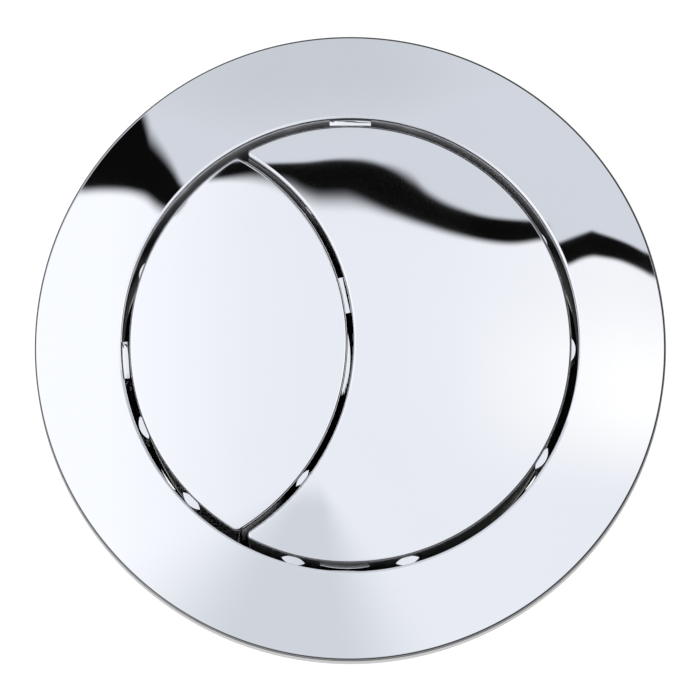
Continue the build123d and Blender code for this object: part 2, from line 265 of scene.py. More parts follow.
# Colour, shift of its tone, span of roughness, kind of marks, their two scales, height of the bump, metallic
finish_values = {
    "chrome_plating": (
        (0.95, 0.952, 0.96), -0.012, (0.012, 0.035), "polish", (45.0, 500.0), 0.00003 * mm, 1.0,
    ),
    "white_moulding": (
        (0.83, 0.83, 0.81), -0.035, (0.34, 0.46), "moulding", (110.0, 2400.0), 0.012 * mm, 0.0,
    ),
    "black_moulding": (
        (0.035, 0.035, 0.037), 0.012, (0.4, 0.55), "moulding", (130.0, 2000.0), 0.012 * mm, 0.0,
    ),
    "rod_plastic": (
        (0.80, 0.80, 0.77), -0.05, (0.38, 0.52), "moulding", (160.0, 3200.0), 0.01 * mm, 0.0,
    ),
    "slip_plastic": (
        (0.76, 0.775, 0.79), -0.04, (0.42, 0.58), "moulding", (70.0, 1800.0), 0.01 * mm, 0.0,
    ),
    "spring_steel": (
        (0.60, 0.60, 0.61), -0.08, (0.22, 0.36), "polish", (300.0, 4000.0), 0.002 * mm, 1.0,
    ),
    "black_rubber": (
        (0.022, 0.022, 0.023), 0.02, (0.62, 0.8), "moulding", (240.0, 1500.0), 0.02 * mm, 0.0,
    ),
}


def new_finish(name, colour, shift, roughness, kind, scales, height, metallic):
    """Principled material: the marks' first mask varies colour and roughness, their second is the bump."""
    material = bpy.data.materials.new(name)
    material.use_nodes = True
    material.diffuse_color = (*colour, 1.0)
    tree = Tree(material.node_tree)
    shader = material.node_tree.nodes["Principled BSDF"]
    mask = tree.add("ShaderNodeGroup", node_tree=marks[kind])
    for socket, scale in zip(mask.inputs, scales):
        socket.default_value = scale
    other = tuple(max(0.0, min(1.0, part + shift)) for part in colour)
    tint = tree.blend(mask.outputs[0], (*colour, 1.0), (*other, 1.0))
    bump = tree.add("ShaderNodeBump", {"Strength": 1.0, "Distance": height, "Height": mask.outputs[1]})
    tree.put(shader.inputs["Base Color"], tint)
    tree.put(shader.inputs["Roughness"], tree.ramp(mask.outputs[0], 0.0, 1.0, *roughness, "LINEAR"))
    tree.put(shader.inputs["Normal"], bump.outputs[0])
    tree.put(shader.inputs["Metallic"], metallic)
    return material


finishes = {name: new_finish(name, *values) for name, values in finish_values.items()}


def recess_and_painted_shading_mask():
    """Walls in the gaps round the buttons: deep ones that the plating hardly reaches, a band of painted shade
    on the wall under the lip, and painted light that makes the walls paler towards the front and back.
    """
    group = new_group("recess_and_painted_shading_mask", {}, ("Recess", "Painted light", "Painted shade"))
    tree = Tree(group)
    coordinates = tree.add("ShaderNodeTexCoord").outputs
    place = coordinates["Object"]
    centre = (0.0, 0.0, dome_centre)
    reach = tree.add("ShaderNodeVectorMath", {0: place, 1: centre}, operation="DISTANCE").outputs["Value"]
    depth = tree.math("SUBTRACT", dome_radius, reach)
    level = tree.add("ShaderNodeVectorMath", {0: place, 1: (1.0, 1.0, 0.0)}, operation="MULTIPLY").outputs[0]
    radius = tree.add("ShaderNodeVectorMath", {0: level}, operation="LENGTH").outputs["Value"]
    rearward = tree.add("ShaderNodeSeparateXYZ", {0: place}).outputs["Y"]
    facing = tree.add("ShaderNodeSeparateXYZ", {0: coordinates["Normal"]}).outputs["Z"]

    bore = tree.ramp(radius, collar_bore - 0.12 * mm, collar_bore - 0.04 * mm)
    bore = tree.math("MULTIPLY", bore, tree.math("LESS_THAN", radius, collar_radius))
    rear_end = tree.ramp(rearward, 6.0 * mm, 17.0 * mm)
    front_end = tree.ramp(rearward, -17.5 * mm, -19.5 * mm)
    inside = tree.math("LESS_THAN", radius, button_radius - 0.6 * mm)
    divider = tree.math("MULTIPLY", tree.math("MAXIMUM", rear_end, front_end), inside)
    upright = tree.math("LESS_THAN", facing, 0.7)
    wall = tree.math("MULTIPLY", tree.math("MAXIMUM", bore, divider), upright)
    deep_wall = tree.math("MULTIPLY", tree.ramp(depth, 1.0 * mm, 1.3 * mm), wall)

    # Painted shade: a band on the wall just under the lip, from 0.2 to 1.0 mm deep, that is made dull and
    # coloured almost black
    under_lip = tree.ramp(depth, 0.2 * mm, 0.28 * mm)
    over_ledge = tree.ramp(depth, 0.9 * mm, 1.0 * mm, 1.0, 0.0)
    outer = tree.math("GREATER_THAN", radius, opening_radius - 0.03 * mm)
    lip_shade_band = tree.math("MULTIPLY", tree.math("MULTIPLY", under_lip, over_ledge), outer)

    result = tree.add("NodeGroupOutput").inputs
    tree.put(result["Recess"], tree.math("MAXIMUM", lip_shade_band, deep_wall))
    # Painted light: the walls are painted paler towards the front and back of the opening
    tree.put(result["Painted light"], tree.ramp(tree.math("ABSOLUTE", rearward), 11.0 * mm, 17.0 * mm))
    tree.put(result["Painted shade"], lip_shade_band)
    return group


def dull_and_shade_recesses(material):
    """Lets the dull moulding show through the plating in the recesses of a material, with painted light on
    the walls towards the front and back and a band of painted shade under the lip.
    """
    tree = Tree(material.node_tree)
    shader = material.node_tree.nodes["Principled BSDF"]
    mask = tree.add("ShaderNodeGroup", node_tree=recess_and_painted_shading_mask()).outputs
    recess = mask["Recess"]
    # Dull colour of the walls: dark, with painted light that turns it pale grey towards the front and back,
    # and painted shade, almost black, in the band under the lip
    dull_and_painted_shading = tree.blend(mask["Painted light"], (0.05, 0.05, 0.051, 1.0), (0.75, 0.75, 0.76, 1.0))
    dull_and_painted_shading = tree.blend(mask["Painted shade"], dull_and_painted_shading, grey(0.012))
    colour = shader.inputs["Base Color"].links[0].from_socket
    roughness = shader.inputs["Roughness"].links[0].from_socket
    tree.put(shader.inputs["Base Color"], tree.blend(recess, colour, dull_and_painted_shading))
    tree.put(shader.inputs["Roughness"], tree.math("MULTIPLY_ADD", recess, 0.4, roughness))
    tree.put(shader.inputs["Metallic"], tree.math("SUBTRACT", 1.0, recess))


dull_and_shade_recesses(finishes["chrome_plating"])


# Meshes

def add_object(name, data):
    """Object at the origin that holds a mesh, a lamp or a camera."""
    piece = bpy.data.objects.new(name, data)
    bpy.context.scene.collection.objects.link(piece)
    return piece


def dress(piece, node):
    """Lets a finished piece stand for a node, on that node's body and in its material."""
    piece.data.materials.clear()
    piece.data.materials.append(finishes[slot_of[node]])
    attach(piece, body_of[node])
    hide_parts(node)


def plain_mesh(piece):
    """Turns a piece's modifiers into its own plain mesh."""
    evaluated = piece.evaluated_get(bpy.context.evaluated_depsgraph_get())
    mesh = bpy.data.meshes.new_from_object(evaluated)
    piece.modifiers.clear()
    piece.data = mesh


def run_tree(piece, tree, node, values):
    """Runs a geometry tree on a piece, with its inputs set by name and the material of a node."""
    step = piece.modifiers.new(tree.name, "NODES")
    step.node_group = tree
    values = {**values, "Material": finishes[slot_of[node]]}
    for item in tree.interface.items_tree:
        if item.in_out == "INPUT" and item.name in values:
            step[item.identifier] = values[item.name]
    plain_mesh(piece)


def smooth(mesh, angle=30.0):
    """Shades a mesh smooth, with edges sharper than the angle kept."""
    mesh.polygons.foreach_set("use_smooth", [True] * len(mesh.polygons))
    mesh.set_sharp_from_angle(angle=radians(angle))


def rounded(corners, steps=5):
    """Points and outward normals of an outline with round corners, from (r, z, radius) corners.

    The outline goes round its section with the inside on the left. A corner with no radius is a point of
    the domed face.
    """
    line = []
    count = len(corners)
    for index, (r, z, radius) in enumerate(corners):
        here = Vector((r, z))
        if radius is None:
            line.append((here, Vector((r, z - dome_centre)).normalized()))
            continue
        before = (Vector(corners[index - 1][:2]) - here).normalized()
        after = (Vector(corners[(index + 1) % count][:2]) - here).normalized()
        turn = pi - before.angle(after)
        side = 1.0 if (-before).cross(after) > 0 else -1.0
        outward = Vector((-before.y, before.x))
        centre = here + before * radius * tan(turn / 2) - outward * radius * side
        for step in range(steps + 1):
            normal = Matrix.Rotation(side * turn * step / steps, 2) @ outward
            line.append((centre + normal * radius * side, normal))
    return line


def lathe(line, segments, ring=True):
    """Points, normals and faces of an outline turned about the Z axis, with flat ends if it isn't a ring."""
    points = []
    normals = []
    for index in range(segments):
        turn = 2 * pi * index / segments
        for at, normal in line:
            points.append((at.x * cos(turn), at.x * sin(turn), at.y))
            normals.append((normal.x * cos(turn), normal.x * sin(turn), normal.y))
    count = len(line)
    faces = []
    for index in range(segments):
        here = index * count
        there = (index + 1) % segments * count
        for k in range(count if ring else count - 1):
            after = (k + 1) % count
            faces.append((here + k, there + k, there + after, here + after))
    if not ring:
        faces.append(tuple(index * count for index in reversed(range(segments))))
        faces.append(tuple(index * count + count - 1 for index in range(segments)))
    return points, normals, faces


def new_mesh(name, points, faces):
    """Smooth mesh from points and faces."""
    mesh = bpy.data.meshes.new(name)
    mesh.from_pydata(points, [], faces)
    smooth(mesh)
    return mesh


def mesh_of(shape, name):
    """Mesh with the faces of an edited shape, which is then freed."""
    mesh = bpy.data.meshes.new(name)
    shape.to_mesh(mesh)
    shape.free()
    return mesh


def prism(section, half_width, edge):
    """Mesh of a bar along Y with an (x, z) section, its edges bevelled."""
    shape = bmesh.new()
    near = [shape.verts.new((x, -half_width, z)) for x, z in section]
    far = [shape.verts.new((x, half_width, z)) for x, z in section]
    shape.faces.new(near)
    shape.faces.new(far[::-1])
    count = len(section)
    for index in range(count):
        after = (index + 1) % count
        shape.faces.new((near[after], near[index], far[index], far[after]))
    bmesh.ops.recalc_face_normals(shape, faces=shape.faces[:])
    bmesh.ops.bevel(shape, geom=shape.edges[:], offset=edge, segments=2, profile=0.5, affect="EDGES")
    return mesh_of(shape, "bar")


def merged_copy(node):
    """Copy of a node's mesh with its doubles merged."""
    shape = bmesh.new()
    shape.from_mesh(frame["nodes"][node].data)
    bmesh.ops.remove_doubles(shape, verts=shape.verts[:], dist=0.001 * mm)
    mesh = mesh_of(shape, node)
    mesh.materials.clear()
    smooth(mesh)
    return mesh


def join(piece, other, operation, crossing=False):
    """Cuts another object out of a piece, or adds it, and deletes that object."""
    step = piece.modifiers.new(operation.lower(), "BOOLEAN")
    step.operation = operation
    step.solver = "EXACT"
    step.use_self = crossing
    step.object = other
    plain_mesh(piece)
    bpy.data.objects.remove(other)


# Geometry trees

def new_geometry_tree(name, inputs):
    """Empty geometry tree with named inputs, a Tree that adds to it, and the inputs' sockets."""
    group = bpy.data.node_groups.new(name, "GeometryNodeTree")
    kinds = {"Geometry": "NodeSocketGeometry", "Material": "NodeSocketMaterial"}
    for label, value in {"Geometry": None, **inputs, "Material": None}.items():
        kind = kinds.get(label, "NodeSocketInt" if isinstance(value, int) else "NodeSocketFloat")
        socket = group.interface.new_socket(label, in_out="INPUT", socket_type=kind)
        if value is not None:
            socket.default_value = value
    group.interface.new_socket("Geometry", in_out="OUTPUT", socket_type="NodeSocketGeometry")
    tree = Tree(group)
    return group, tree, tree.add("NodeGroupInput").outputs


def end_tree(tree, geometry, ends):
    """Ends a geometry tree in Realize Instances and Set Material."""
    real = tree.add("GeometryNodeRealizeInstances", {"Geometry": geometry})
    painted = tree.add("GeometryNodeSetMaterial", {"Geometry": real.outputs[0], "Material": ends["Material"]})
    tree.put(tree.add("NodeGroupOutput").inputs[0], painted.outputs[0])


def ring_of_copies():
    """Copies of a mesh turned about the Z axis, from a start angle and a step apart."""
    group, tree, ends = new_geometry_tree("ring_of_copies", {"Count": 8, "Start": 0.0, "Step": 0.8})
    points = tree.add("GeometryNodePoints", {"Count": ends["Count"]})
    index = tree.add("GeometryNodeInputIndex").outputs[0]
    spin = tree.add("ShaderNodeCombineXYZ", {
        "Z": tree.math("MULTIPLY_ADD", index, ends["Step"], ends["Start"]),
    })
    copies = tree.add("GeometryNodeInstanceOnPoints", {
        "Points": points.outputs[0], "Instance": ends["Geometry"], "Rotation": spin.outputs[0],
    })
    end_tree(tree, copies.outputs[0], ends)
    return group


def helical_thread():
    """Cuts a right-hand thread into the outer wall of a mesh about a vertical axis."""
    group, tree, ends = new_geometry_tree("helical_thread", {
        "Axis": 0.0, "Crest": 0.03, "Depth": 0.001, "Pitch": 0.003,
        "Bottom": -0.02, "Top": 0.0, "Run out": 0.001,
    })
    place = tree.add("GeometryNodeInputPosition").outputs[0]
    part = tree.add("ShaderNodeSeparateXYZ", {0: place}).outputs
    across = tree.math("SUBTRACT", part["X"], ends["Axis"])
    square = tree.math("ADD", tree.math("POWER", across, 2.0), tree.math("POWER", part["Y"], 2.0))
    radius = tree.math("SQRT", square)
    turns = tree.math("DIVIDE", tree.math("ARCTAN2", part["Y"], across), 2 * pi)
    phase = tree.math("FRACT", tree.math("SUBTRACT", tree.math("DIVIDE", part["Z"], ends["Pitch"]), turns))
    flank = tree.math("ABSOLUTE", tree.math("SUBTRACT", tree.math("MULTIPLY", phase, 2.0), 1.0))
    crest_end = 0.22
    root_start = 0.82
    groove = tree.ramp(flank, crest_end, root_start)
    rise = tree.ramp(part["Z"], ends["Bottom"], tree.math("ADD", ends["Bottom"], ends["Run out"]))
    fall = tree.ramp(part["Z"], tree.math("SUBTRACT", ends["Top"], ends["Run out"]), ends["Top"], 1.0, 0.0)
    faded = tree.math("MULTIPLY", groove, tree.math("MULTIPLY", rise, fall))
    cut = tree.math("MULTIPLY", ends["Depth"], faded)
    wall = tree.math("MINIMUM", radius, tree.math("SUBTRACT", ends["Crest"], cut))
    shrink = tree.math("DIVIDE", wall, tree.math("MAXIMUM", radius, 0.1 * mm))
    moved = tree.add("ShaderNodeCombineXYZ", {
        "X": tree.math("MULTIPLY_ADD", across, shrink, ends["Axis"]),
        "Y": tree.math("MULTIPLY", part["Y"], shrink),
        "Z": part["Z"],
    })
    outer = tree.math("GREATER_THAN", radius, tree.math("SUBTRACT", ends["Crest"], ends["Depth"]))
    formed = tree.add("GeometryNodeSetPosition", {
        "Geometry": ends["Geometry"], "Selection": outer, "Position": moved.outputs[0],
    })
    end_tree(tree, formed.outputs[0], ends)
    return group


def wire_coil():
    """Coil of round wire with a closed turn at each end, standing on a vertical axis."""
    group, tree, ends = new_geometry_tree("wire_coil", {
        "Axis": 0.0, "Radius": 0.007, "Wire": 0.0005, "Bottom": -0.02, "Top": 0.0,
        "Open turns": 4.0, "Closed turns": 1.0, "Points": 400,
    })
    line = tree.add("GeometryNodeCurvePrimitiveLine")
    fine = tree.add("GeometryNodeResampleCurve", {"Curve": line.outputs[0], "Count": ends["Points"]})
    share = tree.add("GeometryNodeSplineParameter").outputs["Factor"]
    closed = ends["Closed turns"]
    turns = tree.math("MULTIPLY_ADD", closed, 2.0, ends["Open turns"])
    turn = tree.math("MULTIPLY", share, turns)
    last_closed = tree.math("SUBTRACT", turns, closed)
    closed_pitch = tree.math("MULTIPLY", ends["Wire"], 2.1)
    first = tree.math("ADD", ends["Bottom"], ends["Wire"])
    last = tree.math("SUBTRACT", ends["Top"], ends["Wire"])
    low_turn = tree.math("MINIMUM", turn, closed)
    high_turn = tree.math("MAXIMUM", tree.math("SUBTRACT", turn, last_closed), 0.0)
    seated = tree.math("MULTIPLY", tree.math("ADD", low_turn, high_turn), closed_pitch)
    closed_height = tree.math("MULTIPLY", closed, tree.math("MULTIPLY", closed_pitch, 2.0))
    open_height = tree.math("SUBTRACT", tree.math("SUBTRACT", last, first), closed_height)
    open_share = tree.ramp(turn, closed, last_closed, kind="LINEAR")
    angle = tree.math("MULTIPLY", turn, 2 * pi)
    place = tree.add("ShaderNodeCombineXYZ", {
        "X": tree.math("MULTIPLY_ADD", tree.math("COSINE", angle), ends["Radius"], ends["Axis"]),
        "Y": tree.math("MULTIPLY", tree.math("SINE", angle), ends["Radius"]),
        "Z": tree.math("ADD", first, tree.math("MULTIPLY_ADD", open_share, open_height, seated)),
    })
    bent = tree.add("GeometryNodeSetPosition", {"Geometry": fine.outputs[0], "Position": place.outputs[0]})
    section = tree.add("GeometryNodeCurvePrimitiveCircle", {"Resolution": 12, "Radius": ends["Wire"]})
    wire = tree.add("GeometryNodeCurveToMesh", {
        "Curve": bent.outputs[0], "Profile Curve": section.outputs[0], "Fill Caps": True,
    })
    end_tree(tree, wire.outputs[0], ends)
    return group


copy_ring = ring_of_copies()
cut_thread = helical_thread()
wind_coil = wire_coil()


# Bezel: a turned ring with guide ribs, bearing ribs and snap barbs

def bezel_outline():
    """Section of the bezel: foot, rim, domed face, lip, ledge, collar and the hollow behind the face."""
    lip = dome_height(opening_radius)
    ledge = lip - ledge_depth
    margin = 0.9 * mm
    samples = 24
    face = []
    for index in range(samples + 1):
        share = index / samples
        r = (bezel_radius - margin) * (1 - share) + (opening_radius + margin) * share
        face.append((r, dome_height(r), None))
    return rounded([
        (rim_bore, 0.0, small_edge_radius),
        (bezel_radius, 0.0, small_edge_radius),
        (bezel_radius, rim_height, rim_edge_radius),
        *face,
        (opening_radius + lip_width, dome_height(opening_radius + lip_width), small_edge_radius),
        (opening_radius, lip - lip_drop, lip_edge_radius),
        (opening_radius, ledge, ledge_edge_radius),
        (collar_bore, ledge, ledge_edge_radius),
        (collar_bore, collar_bottom, small_edge_radius),
        (collar_radius, collar_bottom, small_edge_radius),
        (collar_radius, dome_height(collar_radius, bezel_wall), small_edge_radius),
        (rim_bore, dome_height(rim_bore, bezel_wall), small_edge_radius),
    ])


def bezel_bars():
    """Bars on the bezel: section, width, count, start angle and step of each ring of them."""
    rib_inner = button_radius + fit_gap
    root = collar_bore + collar_wall / 2
    bars = []
    for angle, width, drop in guide_ribs:
        section = [
            (rib_inner, collar_bottom), (root, collar_bottom),
            (root, dome_height(root, drop)), (rib_inner, dome_height(rib_inner, drop)),
        ]
        bars.append((section, width, 1, radians(angle), 0.0))
    bearing = [
        (sleeve_radius, flange_top), (flange_radius, flange_top),
        (flange_radius, dome_height(flange_radius, bezel_wall / 2)),
        (sleeve_radius, dome_height(sleeve_radius, bezel_wall / 2)),
    ]
    bars.append((bearing, bearing_rib_width, bearing_rib_count, 0.0, 2 * pi / bearing_rib_count))
    barb = [
        (root, barb_bottom), (collar_radius, barb_bottom), (collar_radius + barb_reach, barb_top),
        (root, barb_top),
    ]
    bars.append((barb, barb_width, barb_count, barb_start, barb_step))
    return bars


def make_bezel():
    """One mesh of the turned ring, with exact normals, and its ribs and barbs."""
    points, normals, faces = lathe(bezel_outline(), bezel_segments)
    turned = len(points)
    for section, width, count, start, step in bezel_bars():
        bars = add_object("bezel_bars", prism(section, width / 2, bar_edge_radius))
        run_tree(bars, copy_ring, "bezel", {"Count": count, "Start": start, "Step": step})
        first = len(points)
        points += [tuple(v.co) for v in bars.data.vertices]
        faces += [tuple(first + index for index in face.vertices) for face in bars.data.polygons]
        bpy.data.objects.remove(bars)
    mesh = new_mesh("chrome_bezel", points, faces)
    plain = (0.0, 0.0, 0.0)
    mesh.normals_split_custom_set([
        normals[loop.vertex_index] if loop.vertex_index < turned else plain for loop in mesh.loops
    ])
    dress(add_object("chrome_bezel", mesh), "bezel")


# Buttons: the solids' own faces, with the exact normals of the dome and the skirts

def skirt_side(flat, side, tip):
    """Distance inside a cap's outline, and the direction that its wall faces there."""
    divider = Vector((-button_radius, 0.0))
    divider_wall = button_radius + side * divider_gap / 2
    reach = button_radius - tip
    turn = divider_wall + side * tip
    x = (turn**2 - reach**2 - button_radius**2) / (2 * button_radius)
    centre = Vector((x, sqrt(reach**2 - x**2) * (1 if flat.y > 0 else -1)))
    to_rim = centre.normalized()
    to_divider = (centre - divider).normalized() * -side
    across = flat - centre
    spread = to_rim.cross(to_divider)
    if across.cross(to_divider) / spread > 0 and to_rim.cross(across) / spread > 0:
        return tip - across.length, across.normalized()
    from_divider = flat - divider
    inside_rim = button_radius - flat.length
    inside_divider = side * (from_divider.length - divider_wall)
    if inside_rim < inside_divider:
        return inside_rim, flat.normalized()
    return inside_divider, from_divider.normalized() * -side


def make_button(flush, side):
    """Chrome cap of one flush, whose divider wall is on one side of the divider's arc."""
    mesh = merged_copy(f"{flush}_button")
    centre = Vector((0.0, 0.0, dome_centre))
    near = 0.003 * mm
    normals = []
    for face in mesh.polygons:
        deep = dome_radius - (face.center - centre).length > cap_depth
        level = deep and abs(face.normal.z) > 0.999
        for index in face.vertices:
            at = mesh.vertices[index].co
            inset, outward = skirt_side(at.xy, side, tip_radius[flush])
            normal = (0.0, 0.0, 0.0)
            if level:
                normal = face.normal
            elif face.normal.z > 0.2 and abs((at - centre).length - dome_radius) < near:
                normal = (at - centre).normalized()
            elif abs(inset) < near and face.normal.xy.dot(outward) > 0.7:
                normal = (*outward, 0.0)
            elif 0 < inset < button_edge_radius and not deep:
                lean = 1 - inset / button_edge_radius
                normal = (*(outward * lean), sqrt(1 - lean**2))
            normals.append(normal)
    mesh.normals_split_custom_set(normals)
    dress(add_object(f"{flush}_chrome_cap", mesh), f"{flush}_button")


# Sleeve: a turned tube with a flange, windows for the barbs, screw bosses and a coarse thread

def sleeve_outline():
    """Section of the sleeve, with rows of points up the wall that the thread is cut into."""
    thread_bottom = sleeve_bottom + sleeve_lead_in
    edge = small_edge_radius
    outline = rounded([
        (sleeve_bore, sleeve_bottom, edge),
        (sleeve_radius - sleeve_lead_in, sleeve_bottom, edge),
        (sleeve_radius, thread_bottom, edge),
        (sleeve_radius, gasket_top, edge),
        (flange_radius, gasket_top, 2 * edge),
        (flange_radius, flange_top, 2 * edge),
        (sleeve_bore, flange_top, edge),
    ], 3)
    low_outside = [at.y < thread_bottom + edge and at.x > sleeve_bore + edge for at, _ in outline]
    start = max(index for index, found in enumerate(low_outside) if found)
    rows = ceil((sleeve_thread_top - thread_bottom) / sleeve_row)
    wall = []
    for index in range(1, rows + 1):
        share = index / rows
        height = outline[start][0].y * (1 - share) + sleeve_thread_top * share
        wall.append((Vector((sleeve_radius, height)), Vector((1.0, 0.0))))
    return outline[:start + 1] + wall + outline[start + 1:]


def barb_windows():
    """Bars that cut the windows for the bezel's barbs."""
    inner = sleeve_bore - mm
    outer = sleeve_radius + mm
    low = barb_bottom - window_gap
    high = barb_top + window_gap
    section = [(inner, low), (outer, low), (outer, high), (inner, high)]
    windows = add_object("windows", prism(section, window_width / 2, window_edge_radius))
    run_tree(windows, copy_ring, "threaded_sleeve", {
        "Count": barb_count, "Start": barb_start, "Step": barb_step,
    })
    return windows


def screw_bosses():
    """Two round bosses for the plate's screws, each with a web to the sleeve's wall."""
    shape = bmesh.new()
    middle = plate_top + boss_height / 2
    reach = sleeve_bore + mm - screw_reach
    # A web is a little slimmer and lower than its boss, so that no faces coincide
    web = Matrix.Diagonal((2 * boss_radius * 0.998, reach, boss_height * 0.999, 1.0))
    for side in (-1, 1):
        bmesh.ops.create_cone(
            shape, cap_ends=True, segments=boss_segments, radius1=boss_radius, radius2=boss_radius,
            depth=boss_height,
            matrix=Matrix.Translation((0.0, side * screw_reach, middle)),
        )
        place = Matrix.Translation((0.0, side * (screw_reach + reach / 2), middle))
        bmesh.ops.create_cube(shape, size=1.0, matrix=place @ web)
    bmesh.ops.recalc_face_normals(shape, faces=shape.faces[:])
    return add_object("bosses", mesh_of(shape, "bosses"))


def make_sleeve():
    """Flanged tube with its windows, bosses and thread."""
    points, _, faces = lathe(sleeve_outline(), sleeve_segments)
    sleeve = add_object("threaded_sleeve_body", new_mesh("threaded_sleeve_body", points, faces))
    join(sleeve, barb_windows(), "DIFFERENCE")
    join(sleeve, screw_bosses(), "UNION", crossing=True)
    run_tree(sleeve, cut_thread, "threaded_sleeve", {
        "Crest": sleeve_radius, "Depth": sleeve_thread_depth, "Pitch": sleeve_thread_pitch,
        "Bottom": sleeve_bottom - mm, "Top": sleeve_thread_top, "Run out": 1.4 * mm,
    })
    smooth(sleeve.data)
    dress(sleeve, "threaded_sleeve")


# Rods, springs and the smaller pieces

def make_rod(flush, side):
    """Push rod with a fine thread on its shank and a plain tip."""
    low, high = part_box(f"{flush}_rod")
    shank_top = high.z - rod_chamfer
    rows = ceil((high.z - rod_step) / rod_row)
    line = [
        (rod_tip_radius - rod_chamfer, low.z),
        (rod_tip_radius, low.z + rod_chamfer),
        (rod_tip_radius, rod_step),
    ]
    line += [(rod_radius, rod_step + (shank_top - rod_step) * index / rows) for index in range(rows + 1)]
    line.append((rod_radius - rod_chamfer, high.z))
    points, _, faces = lathe([(Vector(at), Vector((1.0, 0.0))) for at in line], rod_segments, ring=False)
    axis = side * stem_offset
    points = [(x + axis, y, z) for x, y, z in points]
    rod = add_object(f"{flush}_threaded_rod", new_mesh(f"{flush}_threaded_rod", points, faces))
    run_tree(rod, cut_thread, f"{flush}_rod", {
        "Axis": axis, "Crest": rod_radius, "Depth": rod_thread_depth, "Pitch": rod_thread_pitch,
        "Bottom": rod_step + 0.2 * mm, "Top": high.z + 0.4 * mm, "Run out": 0.8 * mm,
    })
    smooth(rod.data, 40.0)
    dress(rod, f"{flush}_rod")


def make_spring(flush, side):
    """Return spring that shortens as its button is pressed."""
    spring = add_object(f"{flush}_coil", bpy.data.meshes.new(f"{flush}_coil"))
    run_tree(spring, wind_coil, f"{flush}_spring", {
        "Axis": side * stem_offset, "Radius": coil_radius, "Wire": wire_radius,
        "Bottom": plate_top + coil_seat, "Top": base_bottom - coil_seat,
    })
    smooth(spring.data, 60.0)
    dress(spring, f"{flush}_spring")
    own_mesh(spring)


def make_softened(node, width):
    """A node's own form with its edges rounded."""
    mesh = merged_copy(node)
    shape = bmesh.new()
    shape.from_mesh(mesh)
    bmesh.ops.dissolve_limit(shape, angle_limit=radians(0.5), verts=shape.verts[:], edges=shape.edges[:])
    shape.to_mesh(mesh)
    shape.free()
    piece = add_object(f"{node}_moulded", mesh)
    step = piece.modifiers.new("rounded_edges", "BEVEL")
    step.width = width
    step.segments = 2
    step.limit_method = "ANGLE"
    step.angle_limit = radians(28.0)
    step.use_clamp_overlap = True
    even = piece.modifiers.new("even_normals", "WEIGHTED_NORMAL")
    even.keep_sharp = False
    plain_mesh(piece)
    dress(piece, node)


make_bezel()
make_sleeve()
for flush, side in (("half_flush", -1), ("full_flush", 1)):
    make_button(flush, side)
    make_rod(flush, side)
    make_spring(flush, side)
    make_softened(f"{flush}_plunger", 0.15 * mm)
    make_softened(f"{flush}_clip", 0.08 * mm)
    make_softened(f"{flush}_lock_nut", 0.25 * mm)
make_softened("guide_plate", 0.15 * mm)
make_softened("lid_gasket", 0.25 * mm)
make_softened("slip_washer", 0.15 * mm)
make_softened("back_nut", 0.3 * mm)
make_softened("front_guide_screw", 0.08 * mm)
make_softened("rear_guide_screw", 0.08 * mm)


# Studio: a pale floor, cards that the chrome mirrors, a soft lamp and the camera

def make_floor():
    """Plain pale floor that looks white and keeps the object's shadow. It can be seen through from below."""
    reach = 0.09
    height = cad_box[0].z
    corners = [(x * reach, y * reach, height) for x, y in ((-1, -1), (1, -1), (1, 1), (-1, 1))]
    mesh = bpy.data.meshes.new("studio_floor")
    mesh.from_pydata(corners, [], [(0, 1, 2, 3)])
    material = bpy.data.materials.new("pale_floor")
    material.use_nodes = True
    nodes = material.node_tree.nodes
    shader = nodes["Principled BSDF"]
    shader.inputs["Base Color"].default_value = grey(0.67)
    shader.inputs["Roughness"].default_value = 0.9
    shader.inputs["Specular IOR Level"].default_value = 0.0
    shader.inputs["Emission Color"].default_value = grey(1.0)
    tree = Tree(material.node_tree)
    from_camera = tree.add("ShaderNodeLightPath").outputs["Is Camera Ray"]
    tree.put(shader.inputs["Emission Strength"], tree.math("MULTIPLY", from_camera, 0.55))
    clear = tree.add("ShaderNodeBsdfTransparent")
    back = tree.add("ShaderNodeNewGeometry").outputs["Backfacing"]
    either = tree.add("ShaderNodeMixShader", {0: back, 1: shader.outputs[0], 2: clear.outputs[0]})
    tree.put(nodes["Material Output"].inputs["Surface"], either.outputs[0])
    mesh.materials.append(material)
    add_object("studio_floor", mesh)


